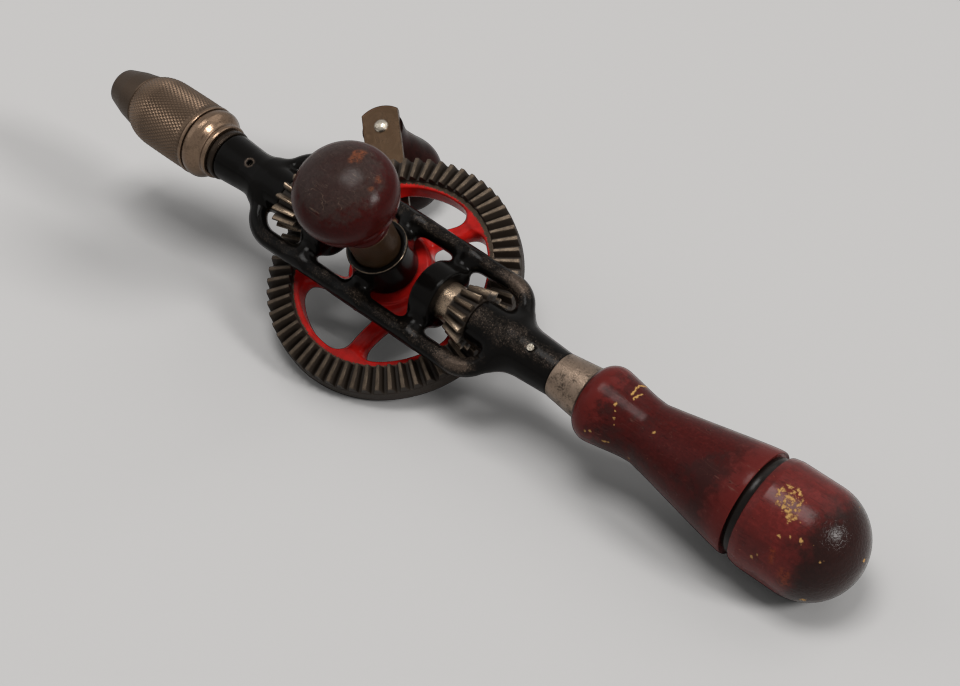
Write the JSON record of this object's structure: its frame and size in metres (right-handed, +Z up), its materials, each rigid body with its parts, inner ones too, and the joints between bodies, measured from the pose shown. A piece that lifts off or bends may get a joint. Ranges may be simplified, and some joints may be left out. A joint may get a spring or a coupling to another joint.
{
  "type": "eggbeater hand drill",
  "caption": "Eggbeater hand drill with an open loop frame, cranked bevel gear, two pinions, keyless jaw chuck, mushroom side knob and hollow wooden handle with a screw cap.",
  "frame": {"origin": "on the bench under the middle of the drill's bounding box, as it lies at rest", "axes": "+Z up from the bench, +X along the bench from the chuck towards the handle"},
  "size_m": [0.378, 0.1356, 0.1036],
  "materials": {
    "japanned_iron": "gloss black japan worn to brown metal",
    "red_iron": "gloss red paint on the web, bare cut teeth",
    "bare_steel": "satin",
    "gear_steel": "worn bright on the teeth",
    "chuck_steel": "tarnished",
    "crank_steel": "tarnished brown",
    "ferrule_steel": "mottled",
    "handle_wood": "red stain under worn lacquer",
    "knob_wood": "dark red stain, scratched"
  },
  "bodies": {
    "frame_group": {"frame": "japanned_iron", "idler_axle": "bare_steel", "gear_screw": "crank_steel", "handle": "handle_wood", "handle_ferrule": "ferrule_steel", "handle_tang": "bare_steel", "tang_pin": "bare_steel"},
    "crank_group": {"drive_gear": "red_iron", "crank_arm": "crank_steel", "crank_rivets": "bare_steel", "crank_knob_pin": "bare_steel"},
    "crank_knob_group": {"crank_knob": "knob_wood"},
    "spindle_group": {"spindle": "bare_steel", "drive_pinion": "gear_steel", "drive_pinion_pin": "bare_steel", "thrust_collar": "chuck_steel", "chuck_body": "chuck_steel"},
    "idler_group": {"idler_pinion": "gear_steel"},
    "sleeve_group": {"chuck_sleeve": "chuck_steel"},
    "jaw_1_group": {"chuck_jaw_1": "gear_steel"},
    "jaw_2_group": {"chuck_jaw_2": "gear_steel"},
    "jaw_3_group": {"chuck_jaw_3": "gear_steel"},
    "side_knob_group": {"side_knob": "knob_wood", "side_knob_ferrule": "ferrule_steel", "side_knob_stud": "bare_steel"},
    "cap_group": {"end_cap": "handle_wood"}
  },
  "joints": [
    {"name": "crank_turn", "type": "hinge", "parent": "frame_group", "child": "crank_group", "pos_m": [-0.033, -0.0253, 0.04189], "axis": [0.0895, -0.4501, 0.8885], "continuous": true},
    {"name": "crank_knob_spin", "type": "hinge", "parent": "crank_group", "child": "crank_knob_group", "pos_m": [-0.09242, 0.04504, 0.02723], "axis": [0.0895, -0.4501, 0.8885], "continuous": true},
    {"name": "spindle_spin", "type": "hinge", "parent": "frame_group", "child": "spindle_group", "pos_m": [-0.033, -0.0253, 0.04189], "axis": [0.995, 0, -0.1002], "continuous": true},
    {"name": "idler_spin", "type": "hinge", "parent": "frame_group", "child": "idler_group", "pos_m": [-0.033, -0.0253, 0.04189], "axis": [0.995, 0, -0.1002], "continuous": true},
    {"name": "sleeve_turn", "type": "hinge", "parent": "spindle_group", "child": "sleeve_group", "pos_m": [-0.033, -0.0253, 0.04189], "axis": [0.995, 0, -0.1002], "range_deg": [0, 2100]},
    {"name": "jaw_1_slide", "type": "slide", "parent": "spindle_group", "child": "jaw_1_group", "axis": [-0.9777, 0.1316, -0.164], "range_m": [0, 0.0122]},
    {"name": "jaw_2_slide", "type": "slide", "parent": "spindle_group", "child": "jaw_2_group", "axis": [-0.927, 0.1603, 0.3391], "range_m": [0, 0.0122]},
    {"name": "jaw_3_slide", "type": "slide", "parent": "spindle_group", "child": "jaw_3_group", "axis": [-0.9498, -0.2919, 0.1123], "range_m": [0, 0.0122]},
    {"name": "side_knob_unscrew", "type": "hinge", "parent": "frame_group", "child": "side_knob_group", "pos_m": [-0.033, -0.0253, 0.04189], "axis": [0.0895, -0.4501, 0.8885], "range_deg": [0, 2160]},
    {"name": "end_cap_pull", "type": "slide", "parent": "frame_group", "child": "cap_group", "axis": [0.995, 0, -0.1002], "range_m": [0, 0.06]}
  ],
  "couplings": [
    {"joint": "spindle_spin", "follows": "crank_turn", "ratio": -4.4286},
    {"joint": "idler_spin", "follows": "crank_turn", "ratio": 4.4286},
    {"joint": "sleeve_turn", "follows": "jaw_1_slide", "rad_per_m": 3004.2},
    {"joint": "jaw_2_slide", "follows": "jaw_1_slide", "ratio": 1},
    {"joint": "jaw_3_slide", "follows": "jaw_1_slide", "ratio": 1}
  ]
}
